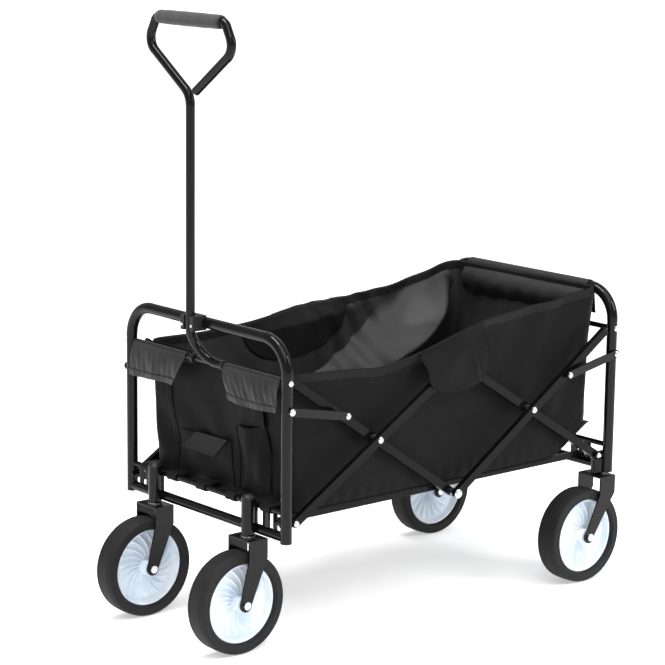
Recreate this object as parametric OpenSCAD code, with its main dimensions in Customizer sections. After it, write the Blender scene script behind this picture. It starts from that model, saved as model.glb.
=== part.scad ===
// Folding camp wagon: a fabric tub slung in a double-scissor steel frame on four wheels.
// X runs from the handle end (-) to the rear (+), Y across, Z up from the ground.

/* [Frame] */
// Distance between the front and the rear bottom pivots, opened out
pivot_span = 754; // [640:2:900]
// Height of the bottom pivots above the ground
pivot_z = 239; // [225:1:300]
// Height of the bars' top ends above the bottom pivots
frame_h = 245; // [210:1:300]
// How far the middle pivots hang below the end pivots
mid_sag = 10; // [0:1:20]
// Distance across the wagon between the post centre lines
post_gauge = 444; // [400:2:540]
// Outer diameter of the post tube
post_d = 20; // [16:0.5:24]
// Wall of the frame tubes
tube_wall = 1.5; // [1:0.1:2]
// Gap between a post and the round ends of its bars
post_gap = 0.5; // [0.5:0.5:8.5]
// Height of the front hoop above the bars' top ends
front_hoop_rise = 69; // [60:1:110]
// Height of the rear hoop above the bars' top ends
rear_hoop_rise = 73; // [60:1:110]
// Bend radius of both hoops, on the tube's centre line
hoop_bend_r = 58; // [40:1:60]
// Diameter of the crosswise rods at the hoops' feet
rod_d = 10; // [8:0.5:12]
// Diameter of the upper crossbars
thin_bar_d = 10; // [8:0.5:12]
// Diameter of the lower crossbars
thick_bar_d = 17; // [14:0.5:18]

/* [Scissor bars] */
// Depth of the bar tube, seen from the side
bar_d = 15; // [12:0.5:15.5]
// Thickness of the bar tube, across the wagon
bar_t = 10; // [8:0.5:10.5]
// Gap between the outer and the inner layer of bars
layer_gap = 6; // [5.5:0.5:9]
// Lean of the outer bars from vertical when the wagon is folded
fold_angle = 10; // [9:0.5:16]
// Place of the link's joint on an inner or outer bar, as a share from its top end
link_share = 0.28; // [0.24:0.01:0.32]
// Depth of the flat links
link_d = 15; // [12:0.5:18]
// Thickness of the flat links
link_t = 4; // [3:0.5:5]
// Shank diameter of the pivot bolts
bolt_d = 6; // [5:0.5:7]

/* [Floor rails and boards] */
// Depth of the floor rails
rail_d = 12; // [10:0.5:12]
// Thickness of the floor rails
rail_t = 8; // [6:0.5:9]
// Distance from the wagon's middle to the centre of the front rails
rail_y = 187; // [180:1:188]
// Thickness of the floor boards
board_t = 4; // [3:0.5:6]
// Distance from the middle of the wagon to a floor board's inner end
board_gap = 64; // [62:1:90]

/* [Wheels] */
// Diameter of the wheels
wheel_d = 180; // [160:1:184]
// Width of the tyres
tyre_w = 45; // [38:1:46]
// Depth of the tyre from its tread to the moulded rim
tyre_depth = 20; // [14:0.5:30]
// Distance between the front wheels' middles
front_track = 270; // [230:2:290]
// Distance between the rear wheels' middles
rear_track = 416; // [410:2:430]
// How far the front axle leads its caster's stem
front_trail = 26; // [15:1:34]
// How far the rear axle lies ahead of its stem
rear_trail = 46; // [20:1:50]
// Diameter of the caster sleeves
sleeve_d = 24; // [20:0.5:26]
// Distance from a post's centre line to its caster sleeve, along the wagon
sleeve_offset = 13; // [10:0.5:15]
// Diameter of the axle bolts
axle_d = 8; // [6:0.5:10]
// Thickness of the fork plates
fork_t = 3; // [2:0.5:4]

/* [Handle] */
// Outer diameter of the handle tube
handle_d = 16; // [14:0.5:18]
// Height of the grip's centre line above the handle rod
handle_reach = 590; // [450:5:700]
// Distance of the stem to the side of the wagon's middle
stem_y = 18; // [0:1:24]
// Radius of the bend at the foot of the stem
foot_r = 50; // [44:1:56]
// Length of the straight grip section
grip_len = 176; // [140:2:180]
// Diameter of the foam grip
grip_d = 25; // [21:0.5:30]
// Width of the handle loop at its widest, on the tube's centre line
loop_w = 230; // [216:2:250]
// Drop from the grip to the loop's widest point
loop_shoulder = 45; // [38:1:52]
// Drop from the grip to where the loop meets the stem
loop_drop = 128; // [112:1:150]

/* [Fabric tub] */
// Outer width of the tub
tub_w = 394; // [360:2:394]
// Thickness of the coated fabric with its lining
cloth_t = 2.5; // [2:0.5:3]
// Height of the rim at the front
rim_front_z = 487; // [470:1:490]
// Height of the rim at the rear
rim_rear_z = 556; // [540:1:560]
// Gap from the posts' centre lines to the tub's end walls
tub_end_gap = 30; // [27:1:40]

/* [Hidden] */

$fn = 64;
// Running clearance between pieces that turn or slide on each other
slip = 0.3;
// Bore oversize on a pivot bolt, on the radius
bore_slack = 0.3;
SIDES = [-1, 1];

half_span = pivot_span / 2;
post_y = post_gauge / 2;
post_r = post_d / 2;
pivot_inset = post_r + bar_d / 2 + post_gap;
post_x = half_span + pivot_inset;
top_z = pivot_z + frame_h;
front_hoop_z = top_z + front_hoop_rise;
rear_hoop_z = top_z + rear_hoop_rise;
rod_z = top_z + 1;
thick_z = pivot_z - 23;
thin_z = pivot_z + 19;
post_foot_z = thick_z - thick_bar_d / 2 - 1;

// Bar joints, as [x, z]
front_low = [-half_span, pivot_z];
rear_low = [half_span, pivot_z];
mid_low = [0, pivot_z - mid_sag];
mid_top = [0, top_z - mid_sag];
front_top = [-half_span, top_z];
rear_top = [half_span, top_z];
outer_y = post_y;
inner_y = post_y - bar_t - layer_gap;
outer_len = norm(mid_top - front_low);
inner_len = norm(mid_low - front_top);
// Bars stop this far short of their free top ends
top_stop = 1;
// The inner bars' lean when the wagon is folded, from equal widths of the two triangles
inner_fold = asin(outer_len * sin(fold_angle) / inner_len);

// The link pivot on the post is set so that one link length serves open and folded
link_open = [link_share * half_span, frame_h - link_share * (frame_h + mid_sag)];
link_shut = [link_share * inner_len * sin(inner_fold),
    outer_len * cos(fold_angle) / 2 + (0.5 - link_share) * inner_len * cos(inner_fold)];
post_back = -pivot_inset;
link_post_h = ((link_shut.x - post_back) ^ 2 + link_shut.y ^ 2 - (link_open.x - post_back) ^ 2
    - link_open.y ^ 2) / (2 * (link_shut.y - link_open.y));
link_post = [-post_x, pivot_z + link_post_h];
link_bar = [-half_span + link_open.x, pivot_z + link_open.y];
link_y = post_y + post_r + slip + link_t / 2;
link_face = link_y - link_t / 2;

// Rails
rail_x = half_span - 4;
rail_z = pivot_z - 1;
rear_rail_y = rail_y - rail_t - 0.4;
bracket_t = 3;
rail_pin_d = 5;

// Casters
front_stem_x = -post_x - sleeve_offset;
rear_stem_x = post_x - sleeve_offset;
wheel_r = wheel_d / 2;
rim_d = wheel_d - 2 * tyre_depth;
fork_top = wheel_r + 112;
fork_w = tyre_w + 14;
fork_l = 40;
stem_r = 7;
sleeve_foot = fork_top + 2;
// The sleeves rise past the upper crossbars, which they are welded to
sleeve_h = thin_z + 12 - sleeve_foot;
hub_w = tyre_w - 1;

// Handle
stem_gap = 3.6;
stem_x = -post_x - post_r - stem_gap - handle_d / 2;
stem_lead = -post_x - stem_x;
small_r = 20;
foot_phi = atan(small_r / foot_r);
foot_tilt = foot_phi + asin((stem_lead - small_r) / norm([foot_r, small_r]));
foot_h = foot_r * cos(foot_tilt) + small_r * sin(foot_tilt);
grip_z = rod_z + handle_reach;

// Tub, as [x, z] outlines
tub_x0 = -post_x + tub_end_gap;
tub_x1 = post_x - tub_end_gap;
tub_z0 = rail_z + rail_d / 2 + slip;
tub_rise = 62;
tub_out = [[tub_x0, tub_z0], [tub_x1 - 110, tub_z0], [tub_x1, tub_z0 + tub_rise], [tub_x1, rim_rear_z],
    [tub_x1 * 0.45, rim_rear_z - 18], [tub_x1 * 0.1, mid_top.y + 52], [-tub_x1 * 0.2, rim_front_z + 6],
    [-tub_x1 * 0.45, rim_front_z - 10], [tub_x0, rim_front_z]];

// Puts the middle of the whole wagon, wheels included, over the origin
module home() {
    translate([sleeve_offset + (front_trail + rear_trail) / 2, 0, 0]) children();
}

module both() {
    for (s = SIDES) scale([1, s, 1]) children();
}

// A cylinder along Y from y0 to y1 through [x, z]
module ycyl(p, r, y0, y1) {
    translate([p.x, y1, p.y]) rotate([90, 0, 0]) rotate([0, 0, 117]) cylinder(r = r, h = y1 - y0);
}

// A strap's sides lie this far inside its round ends
strap_ease = 0.1;

// A flat strap with round ends between [x, z] points p and q, standing along Y from y0 to y1
module strap(p, q, r, y0, y1) {
    len = norm(q - p);
    translate([p.x, y1, p.y]) rotate([0, -atan2(q.y - p.y, q.x - p.x), 0]) rotate([90, 0, 0])
        linear_extrude(y1 - y0) {
            translate([0, -r + strap_ease]) square([len, 2 * (r - strap_ease)]);
            for (x = [0, len]) translate([x, 0]) circle(r = r);
        }
}

// A domed bolt head, its flat face at y0, looking outwards along +Y
module dome_y(p, r, h, y0) {
    translate([p.x, y0, p.y]) rotate([-90, 0, 0]) {
        cylinder(r = r, h = h * 0.4);
        translate([0, 0, h * 0.4]) cylinder(r1 = r, r2 = r * 0.55, h = h * 0.6);
    }
}

// A bolt along Y: head outside, shank inwards, small nut at its inner end
module bolt_y(p, y_out, y_in, nut_h = 2.6, head_r = bolt_d * 0.95) {
    dome_y(p, head_r, 3.4, y_out);
    ycyl(p, bolt_d / 2, y_in - nut_h, y_out);
    ycyl(p, bolt_d * 0.85, y_in - nut_h, y_in);
}

// A hollow rectangular bar between joints p and q, cut with bores of radius r at the joints list
module bar(p, q, y, stop_q, joints) {
    len = norm(q - p) - stop_q;
    ang = atan2(q.y - p.y, q.x - p.x);
    difference() {
        translate([p.x, y, p.y]) rotate([0, -ang, 0]) difference() {
            union() {
                translate([0, -bar_t / 2, -bar_d / 2]) cube([len, bar_t, bar_d]);
                ycyl([0, 0], bar_d / 2, -bar_t / 2, bar_t / 2);
            }
            translate([bar_d / 2, -bar_t / 2 + tube_wall, -bar_d / 2 + tube_wall])
                cube([len, bar_t - 2 * tube_wall, bar_d - 2 * tube_wall]);
        }
        for (j = joints) ycyl(j, bolt_d / 2 + bore_slack, y - bar_t, y + bar_t);
    }
}

// The plastic plug in a bar's open end
module bar_plug(p, q, y, stop_q) {
    len = norm(q - p) - stop_q;
    ang = atan2(q.y - p.y, q.x - p.x);
    translate([p.x, y, p.y]) rotate([0, -ang, 0]) translate([len, 0, 0]) {
        translate([0, -bar_t / 2, -bar_d / 2]) cube([1.5, bar_t, bar_d]);
        translate([-10, -bar_t / 2 + tube_wall, -bar_d / 2 + tube_wall])
            cube([10, bar_t - 2 * tube_wall, bar_d - 2 * tube_wall]);
    }
}

function mid(a, b) = (a + b) / 2;
front_cross = mid(front_low, mid_top);
rear_cross = [-front_cross.x, front_cross.y];

// Straights run this far into the bends, and the bends are this much fatter
bend_lap = 1;
bend_swell = 0.25;

// A tube along a planar path of [x, y] points with a bend radius at each inner point
module bent_tube(pts, radii, r, hollow) {
    n = len(pts);
    dirs = [for (i = [0 : n - 2]) (pts[i + 1] - pts[i]) / norm(pts[i + 1] - pts[i])];
    turns = [for (i = [1 : n - 2]) atan2(dirs[i - 1].x * dirs[i].y - dirs[i - 1].y * dirs[i].x,
        dirs[i - 1] * dirs[i])];
    cut = [for (i = [0 : n - 1]) (i == 0 || i == n - 1) ? 0 : radii[i - 1] * tan(abs(turns[i - 1]) / 2)];
    for (i = [0 : n - 2]) {
        lap0 = i == 0 ? 0 : bend_lap;
        lap1 = i == n - 2 ? 0 : bend_lap;
        a = pts[i] + dirs[i] * (cut[i] - lap0);
        len = norm(pts[i + 1] - pts[i]) - cut[i] - cut[i + 1] + lap0 + lap1;
        translate([a.x, a.y, 0]) rotate([0, 0, atan2(dirs[i].y, dirs[i].x)]) rotate([0, 90, 0])
            difference() {
                cylinder(r = r, h = len);
                if (hollow > 0) translate([0, 0, -1]) cylinder(r = hollow, h = len + 2);
            }
    }
    for (i = [1 : n - 2]) {
        s = sign(turns[i - 1]);
        left = [-dirs[i - 1].y, dirs[i - 1].x] * s;
        c = pts[i] - dirs[i - 1] * cut[i] + left * radii[i - 1];
        start = atan2(-left.y, -left.x);
        translate([c.x, c.y, 0]) rotate([0, 0, s > 0 ? start : start + turns[i - 1]])
            rotate_extrude(angle = abs(turns[i - 1])) translate([radii[i - 1], 0]) difference() {
                circle(r = r + bend_swell);
                if (hollow > 0) circle(r = hollow - bend_swell);
            }
    }
}

// The inverted-U hoop with its two posts, standing at x
module hoop(x, z_top) {
    translate([x, 0, 0]) rotate([90, 0, 90])
        bent_tube([[-post_y, post_foot_z], [-post_y, z_top], [post_y, z_top], [post_y, post_foot_z]],
            [hoop_bend_r, hoop_bend_r], post_r, post_r - tube_wall);
}

// The two crossbars, the uprights that tie them and the lugs that carry the bar pivots
module frame_base(x, inward) {
    ycyl([x, thick_z], thick_bar_d / 2, -post_y + post_r * 0.4, post_y - post_r * 0.4);
    ycyl([x, thin_z], thin_bar_d / 2, -post_y + post_r * 0.8, post_y - post_r * 0.8);
    both() {
        for (y = [front_track / 2, rail_y - 18])
            translate([x - 2, y - 8, thick_z]) cube([4, 16, thin_z - thick_z]);
        // pivot lug between the outer and the inner layer of bars
        difference() {
            strap([x, pivot_z], [x + inward * pivot_inset, pivot_z], 8, lug_y0, lug_y1);
            ycyl([x + inward * pivot_inset, pivot_z], bolt_d / 2 + bore_slack, lug_y0 - 5, lug_y1 + 5);
        }
    }
}
lug_y0 = inner_y + bar_t / 2 + slip;
lug_y1 = outer_y - bar_t / 2 - slip;

// Plate that carries a floor rail's pin, welded between the crossbars
module rail_bracket(x, inward, y0) {
    pin_x = inward * rail_x * -1;
    difference() {
        union() {
            translate([min(x, pin_x), y0, rail_z - 7]) cube([abs(x - pin_x), bracket_t, 14]);
            ycyl([pin_x, rail_z], 7, y0, y0 + bracket_t);
            translate([x - 4, y0, thick_z]) cube([8, bracket_t, thin_z - thick_z]);
        }
        ycyl([pin_x, rail_z], rail_pin_d / 2 + bore_slack, y0 - 1, y0 + bracket_t + 1);
    }
}

// Bores through both posts at the rod level and at the link level
module post_bores(x, z) {
    both() ycyl([x, z], bolt_d / 2 + bore_slack, post_y - post_r - 4, post_y + post_r + 4);
}

front_bracket_y = rail_y + rail_t / 2 + slip;
rear_bracket_y = rear_rail_y - rail_t / 2 - slip - bracket_t;

module front_frame() {
    color("#15151a") home() difference() {
        union() {
            hoop(-post_x, front_hoop_z);
            frame_base(-post_x, 1);
            both() {
                rail_bracket(-post_x, 1, front_bracket_y);
                translate([front_stem_x, front_track / 2, sleeve_foot])
                    cylinder(d = sleeve_d, h = sleeve_h);
            }
        }
        both() translate([front_stem_x, front_track / 2, sleeve_foot - 1])
            cylinder(r = stem_r + bore_slack, h = sleeve_h + 2);
        post_bores(-post_x, rod_z);
        post_bores(-post_x, link_post.y);
    }
}

module rear_frame() {
    color("#15151a") home() difference() {
        union() {
            hoop(post_x, rear_hoop_z);
            frame_base(post_x, -1);
            both() {
                rail_bracket(post_x, -1, rear_bracket_y);
                translate([rear_stem_x, rear_track / 2, sleeve_foot])
                    cylinder(d = sleeve_d, h = rear_sleeve_h);
            }
        }
        both() translate([rear_stem_x, rear_track / 2, sleeve_foot - 1])
            cylinder(r = stem_r + bore_slack, h = rear_sleeve_h + 2);
        post_bores(post_x, rod_z);
        post_bores(post_x, link_post.y);
    }
}
rear_sleeve_h = pivot_z - bar_d / 2 - 2 - sleeve_foot;

module cross_rod(x) {
    color("#1b1b1f") home() {
        ycyl([x, rod_z], rod_d / 2, -post_y + post_r + slip, post_y - post_r - slip);
        both() ycyl([x, rod_z], bolt_d / 2, post_y - post_r - 2, post_y + post_r - 2);
    }
}

module front_rod() cross_rod(-post_x);
module rear_rod() cross_rod(post_x);

module rod_screws(x) {
    color("#c9ccd1") home() both() {
        dome_y([x, rod_z], 5, 3, post_y + post_r + 0.1);
        ycyl([x, rod_z], bolt_d / 2, post_y + post_r - 1.5, post_y + post_r + 0.2);
    }
}

module front_rod_screws() rod_screws(-post_x);
module rear_rod_screws() rod_screws(post_x);

module caster_caps() {
    color("#101012") home() both() translate([front_stem_x, front_track / 2, sleeve_foot + sleeve_h]) {
        cylinder(d = sleeve_d, h = 3);
        translate([0, 0, 3]) cylinder(d1 = sleeve_d, d2 = sleeve_d - 9, h = 4);
    }
}

module caster_washers() {
    color("#c9ccd1") home() both() translate([front_stem_x, front_track / 2, fork_top + slip]) difference() {
        cylinder(d = sleeve_d + 2, h = sleeve_foot - fork_top - slip);
        translate([0, 0, -1]) cylinder(r = stem_r + bore_slack, h = 5);
    }
}

clip_w = 36;
clip_h = 26;
module handle_clip() {
    color("#0d0d0f") home() difference() {
        translate([stem_x - handle_d / 2, stem_y - clip_w / 2, front_hoop_z - clip_h / 2])
            cube([stem_lead + handle_d / 2, clip_w, clip_h]);
        ycyl([-post_x, front_hoop_z], post_r, -post_y, post_y);
        translate([stem_x, stem_y, 0]) cylinder(r = handle_d / 2 + 0.4, h = 2000);
        translate([stem_x - 20, stem_y - handle_d / 2 - 0.4, 0]) cube([20, handle_d + 0.8, 2000]);
    }
}

module clip_screws() {
    color("#c9ccd1") home() for (s = SIDES)
        translate([stem_x - handle_d / 2, stem_y + s * 13, front_hoop_z - 4]) rotate([0, -90, 0])
            cylinder(d = 5, h = 1.2);
}

collar_t = 6;
foot_end_y = stem_y - foot_r - 14;
module rod_collars() {
    color("#101012") home() for (y = [foot_end_y - slip - collar_t, stem_y + 14]) difference() {
        ycyl([-post_x, rod_z], 9, y, y + collar_t);
        ycyl([-post_x, rod_z], rod_d / 2, y - 1, y + collar_t + 1);
    }
}

module front_pivot_bolts() {
    color("#d8dade") home() both() bolt_y(front_low, outer_y + bar_t / 2 + slip, lug_y0, 2.2);
}

module rear_pivot_bolts() {
    color("#d8dade") home() both() bolt_y(rear_low, lug_y1, inner_y - bar_t / 2 - slip);
}

// Bolt through both layers of bars, with the spacer that keeps them apart
module layer_bolts(p, washer_r) {
    both() {
        bolt_y(p, outer_y + bar_t / 2, inner_y - bar_t / 2 - slip, 2.6, washer_r);
        difference() {
            ycyl(p, 7, inner_y + bar_t / 2 + slip, outer_y - bar_t / 2);
            ycyl(p, bolt_d / 2, 0, outer_y);
        }
    }
}

module front_cross_bolts() { color("#d8dade") home() layer_bolts(front_cross, 6); }
module rear_cross_bolts() { color("#d8dade") home() layer_bolts(rear_cross, 6); }
module mid_pivot_bolts() { color("#d8dade") home() layer_bolts(mid_low, 8.5); }

module link_bolts(x) {
    color("#d8dade") home() both() {
        dome_y([x, link_post.y], 6, 3.4, link_y + link_t / 2 + slip);
        ycyl([x, link_post.y], bolt_d / 2, post_y - post_r - 1, link_y + link_t / 2 + slip);
    }
}
module front_link_bolts() link_bolts(-post_x);
module rear_link_bolts() link_bolts(post_x);

module flat_link(p, q) {
    color("#1b1b1f") home() both() difference() {
        strap(p, q, link_d / 2, link_face, link_face + link_t);
        ycyl(p, bolt_d / 2 + bore_slack, link_face - 5, link_face + 10);
    }
}
module front_links() flat_link(link_post, link_bar);
module rear_links() flat_link([-link_post.x, link_post.y], [-link_bar.x, link_bar.y]);

module link_rivets(p) {
    color("#d8dade") home() both() dome_y(p, 5.5, 3, link_y + link_t / 2);
}
module front_link_rivets() link_rivets(link_bar);
module rear_link_rivets() link_rivets([-link_bar.x, link_bar.y]);

// Spacer studs that stand between an inner bar and its link
module front_link_spacers() {
    color("#101012") home() both() ycyl(link_bar, 4, inner_y + bar_t / 2, link_face - slip);
}

module front_outer_bars() {
    color("#1b1b1f") home() both() {
        bar(front_low, mid_top, outer_y, top_stop, [front_low, front_cross]);
        ycyl(mid_top + [-9, -6], 4, outer_y - bar_t / 2 - layer_gap / 2 + slip,
            outer_y - bar_t / 2 + 0.5);
    }
}

module front_inner_bars() {
    color("#1b1b1f") home() both() bar(mid_low, front_top, inner_y, top_stop + 1.5, [mid_low, front_cross]);
}

module rear_outer_bars() {
    color("#1b1b1f") home() both() {
        bar(mid_low, rear_top, outer_y, top_stop + 1.5, [mid_low, rear_cross]);
        ycyl([-link_bar.x, link_bar.y], 4, outer_y + bar_t / 2 - 0.5, link_face - slip);
    }
}

module rear_inner_bars() {
    color("#1b1b1f") home() both() {
        bar(rear_low, mid_top, inner_y, top_stop, [rear_low, rear_cross]);
        ycyl(mid_top + [9, -6], 4, inner_y + bar_t / 2 - 0.5, inner_y + bar_t / 2 + layer_gap / 2 - slip);
    }
}

module front_outer_plugs() {
    color("#0d0d0f") home() both() bar_plug(front_low, mid_top, outer_y, top_stop);
}
module front_inner_plugs() {
    color("#0d0d0f") home() both() bar_plug(mid_low, front_top, inner_y, top_stop + 1.5);
}
module rear_outer_plugs() {
    color("#0d0d0f") home() both() bar_plug(mid_low, rear_top, outer_y, top_stop + 1.5);
}
module rear_inner_plugs() {
    color("#0d0d0f") home() both() bar_plug(rear_low, mid_top, inner_y, top_stop);
}

// One pair of floor rails, from its pins at x = side * rail_x to the middle
module rails(side, y) {
    color("#1b1b1f") home() both() translate([side * rail_x, y + rail_t / 2, rail_z])
        rotate([90, 0, 0]) linear_extrude(rail_t) difference() {
            union() {
                translate([side > 0 ? -rail_x : 0, -rail_d / 2 + strap_ease])
                    square([rail_x, rail_d - 2 * strap_ease]);
                circle(d = rail_d);
            }
            circle(r = rail_pin_d / 2 + bore_slack);
        }
}
module front_rails() rails(-1, rail_y);
module rear_rails() rails(1, rear_rail_y);

module front_rail_pins() {
    color("#d8dade") home() both() {
        ycyl([-rail_x, rail_z], rail_pin_d / 2, rail_y - rail_t / 2 - 2, front_bracket_y + bracket_t);
        ycyl([-rail_x, rail_z], 4.5, front_bracket_y + bracket_t, front_bracket_y + bracket_t + 2);
    }
}

module rear_rail_pins() {
    color("#d8dade") home() both() {
        ycyl([rail_x, rail_z], rail_pin_d / 2, rear_bracket_y, rear_rail_y + rail_t / 2 + 2);
        ycyl([rail_x, rail_z], 4.5, rear_bracket_y - 2, rear_bracket_y);
    }
}

board_z = tub_z0 + cloth_t + slip;
// Each board lies between the rails, so that the other half's rails fold past its sides
board_half = rear_rail_y - rail_t / 2 - slip;
module floor_board(x0, x1) {
    color("#2b2b2e") home() translate([x0, -board_half, board_z]) cube([x1 - x0, 2 * board_half, board_t]);
}
module front_floor_board() floor_board(tub_x0 + 10, -board_gap);
module rear_floor_board() floor_board(board_gap, tub_x1 - 118);

module tub() {
    color("#232326") home() difference() {
        translate([0, tub_w / 2, 0]) rotate([90, 0, 0]) linear_extrude(tub_w) polygon(tub_out);
        translate([0, tub_w / 2 - cloth_t, 0]) rotate([90, 0, 0]) linear_extrude(tub_w - 2 * cloth_t)
            polygon([[tub_x0 + cloth_t, tub_z0 + cloth_t], [tub_x1 - 111, tub_z0 + cloth_t],
                [tub_x1 - cloth_t, tub_z0 + tub_rise + cloth_t], [tub_x1 - cloth_t, 2 * rim_rear_z],
                [tub_x0 + cloth_t, 2 * rim_rear_z]]);
    }
}

// A strip of cloth folded over a tube along Y, hanging down on both sides
module fold_over(p, r, drop_out, drop_in, y0, y1) {
    translate([p.x, y1, p.y]) rotate([90, 0, 0]) linear_extrude(y1 - y0) {
        difference() {
            circle(r = r + cloth_t);
            circle(r = r);
            translate([-50, -100]) square([100, 100]);
        }
        translate([-r - cloth_t, -drop_in]) square([cloth_t, drop_in]);
        translate([r, -drop_out]) square([cloth_t, drop_out]);
    }
}

flap_gap = 54;
module front_flaps() {
    color("#3a3a3e") home() both()
        fold_over([-post_x, rod_z], rod_d / 2 + slip, 18, 62, flap_gap, post_y - post_r - 3);
}

cuff_half = post_y - hoop_bend_r;
module rear_cuff() {
    color("#3a3a3e") home() fold_over([post_x, rear_hoop_z], post_r + slip, 55, 30, -cuff_half, cuff_half);
}

pocket_y = outer_y + bar_t / 2 + slip;
module rim_pockets() {
    color("#232326") home() both() translate([0, pocket_y + cloth_t, 0]) rotate([90, 0, 0])
        linear_extrude(cloth_t)
            polygon([[-74, mid_top.y - 50], [-24, mid_top.y + 34], [24, mid_top.y + 34],
                [48, mid_top.y - 44], [0, mid_top.y - 56]]);
}

// Handle path in its own plane, as [y, z] from the top of the foot bend
module handle_tube() {
    r = handle_d / 2;
    loop_z = grip_z - loop_drop;
    color("#121216") home() {
        translate([stem_x, 0, 0]) rotate([90, 0, 90])
            bent_tube([[stem_y, rod_z + foot_h - bend_lap], [stem_y, loop_z],
                [stem_y + loop_w / 2 + 6, grip_z - loop_shoulder],
                [stem_y + grip_len / 2 + 8, grip_z], [stem_y - grip_len / 2 - 8, grip_z],
                [stem_y - loop_w / 2 - 6, grip_z - loop_shoulder],
                [stem_y - handle_d - 1, loop_z + 8]], [34, 26, 14, 14, 26], r, r - tube_wall);
        difference() {
            union() {
                // foot bend: from along the rod to the tilted rise
                translate([-post_x, stem_y - foot_r, rod_z]) rotate([0, -foot_tilt, 0])
                    translate([0, 0, foot_r]) {
                        rotate([0, 90, 0]) rotate_extrude(angle = 90)
                            translate([foot_r, 0]) circle(r = r + bend_swell);
                        // covers the seam between the two bends
                        translate([0, foot_r, -bend_lap])
                            cylinder(r = r + 2 * bend_swell, h = 2 * bend_lap);
                    }
                // small bend that brings the rise upright in front of the hoop
                translate([stem_x + small_r, stem_y, rod_z + foot_h]) rotate([90, 0, 0])
                    rotate([0, 0, 180]) rotate_extrude(angle = foot_tilt)
                        translate([small_r, 0]) circle(r = r + bend_swell);
                ycyl([-post_x, rod_z], r, foot_end_y, stem_y - foot_r + bend_lap);
            }
            ycyl([-post_x, rod_z], rod_d / 2 + bore_slack, foot_end_y - 1, stem_y + 10);
        }
    }
}

module handle_grip() {
    color("#1f1f22") home() difference() {
        ycyl([stem_x, grip_z], grip_d / 2, stem_y - grip_len / 2, stem_y + grip_len / 2);
        ycyl([stem_x, grip_z], handle_d / 2, stem_y - grip_len, stem_y + grip_len);
    }
}

module handle_plug() {
    loop_z = grip_z - loop_drop;
    a = [stem_y - loop_w / 2 - 6, grip_z - loop_shoulder];
    b = [stem_y - handle_d - 1, loop_z + 8];
    d = (b - a) / norm(b - a);
    color("#0d0d0f") home() translate([stem_x, b.x, b.y]) rotate([atan2(-d.x, d.y), 0, 0]) {
        translate([0, 0, -8]) cylinder(r = handle_d / 2 - tube_wall, h = 8);
        cylinder(r = handle_d / 2, h = 1.5);
    }
}

// One side plate of a fork, as an [x, z] outline that narrows down to the axle
module fork_plate(stem, lead, y0) {
    foot = [stem - lead, wheel_r];
    shoulder = fork_top - 34;
    difference() {
        union() {
            translate([0, y0 + fork_t, 0]) rotate([90, 0, 0]) linear_extrude(fork_t)
                polygon([[foot.x - 12, foot.y], [foot.x + 12, foot.y], [stem + fork_l / 2, shoulder],
                    [stem + fork_l / 2, fork_top], [stem - fork_l / 2, fork_top],
                    [stem - fork_l / 2, shoulder]]);
            ycyl(foot, 12, y0, y0 + fork_t);
        }
        ycyl([stem - lead, wheel_r], axle_d / 2 + bore_slack, y0 - 5, y0 + 10);
    }
}

module fork(stem, lead, y, pin_h) {
    fork_plate(stem, lead, y - fork_w / 2);
    fork_plate(stem, lead, y + fork_w / 2 - fork_t);
    translate([stem - fork_l / 2, y - fork_w / 2, fork_top - fork_t]) cube([fork_l, fork_w, fork_t]);
    translate([stem, y, fork_top - fork_t]) cylinder(r = stem_r, h = pin_h + fork_t);
}

pin_len = sleeve_h + 1;
module near_fork() { color("#1b1b1f") home() fork(front_stem_x, front_trail, -front_track / 2, pin_len); }
module far_fork() { color("#1b1b1f") home() fork(front_stem_x, front_trail, front_track / 2, pin_len); }
module rear_forks() {
    color("#1b1b1f") home() for (s = SIDES) fork(rear_stem_x, rear_trail, s * rear_track / 2, rear_sleeve_h);
}

module axle(x, y) {
    out = fork_w / 2 + 0.2;
    color("#d8dade") home() {
        ycyl([x, wheel_r], axle_d / 2, y - out - 3, y + out + 3);
        for (s = SIDES) ycyl([x, wheel_r], 7, y + (s > 0 ? out : -out - 4), y + (s > 0 ? out + 4 : -out));
    }
}
module near_axle() axle(front_stem_x - front_trail, -front_track / 2);
module far_axle() axle(front_stem_x - front_trail, front_track / 2);
module rear_axles() for (s = SIDES) axle(rear_stem_x - rear_trail, s * rear_track / 2);

// Moulded rim: hub barrel, ribbed web and the seat that the tyre grips
module rim(x, y) {
    seat = rim_d / 2;
    color("#d5e2ee") home() translate([x, y, wheel_r]) rotate([90, 0, 0]) difference() {
        union() {
            cylinder(r = 13, h = hub_w, center = true);
            cylinder(r = seat - 2, h = 4, center = true);
            difference() {
                cylinder(r = seat, h = tyre_w * 0.72, center = true);
                cylinder(r = seat - 4, h = tyre_w, center = true);
            }
            for (i = [0 : 19]) rotate([0, 0, i * 18]) translate([11, -1, -tyre_w * 0.3])
                cube([seat - 14, 2, tyre_w * 0.6]);
        }
        cylinder(r = axle_d / 2 + bore_slack, h = hub_w + 2, center = true);
    }
}

module tyre(x, y) {
    edge = 9;
    seat = rim_d / 2;
    half = tyre_w / 2;
    color("#303034") home() translate([x, y, wheel_r]) rotate([90, 0, 0]) rotate_extrude() difference() {
        union() {
            translate([seat, -half]) square([wheel_r - edge - seat, tyre_w]);
            translate([seat, -half + edge]) square([wheel_r - seat, tyre_w - 2 * edge]);
            for (s = SIDES) translate([wheel_r - edge, s * (half - edge)]) circle(r = edge);
        }
        translate([seat - 1, -tyre_w * 0.36]) square([1, tyre_w * 0.72]);
    }
}

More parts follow.
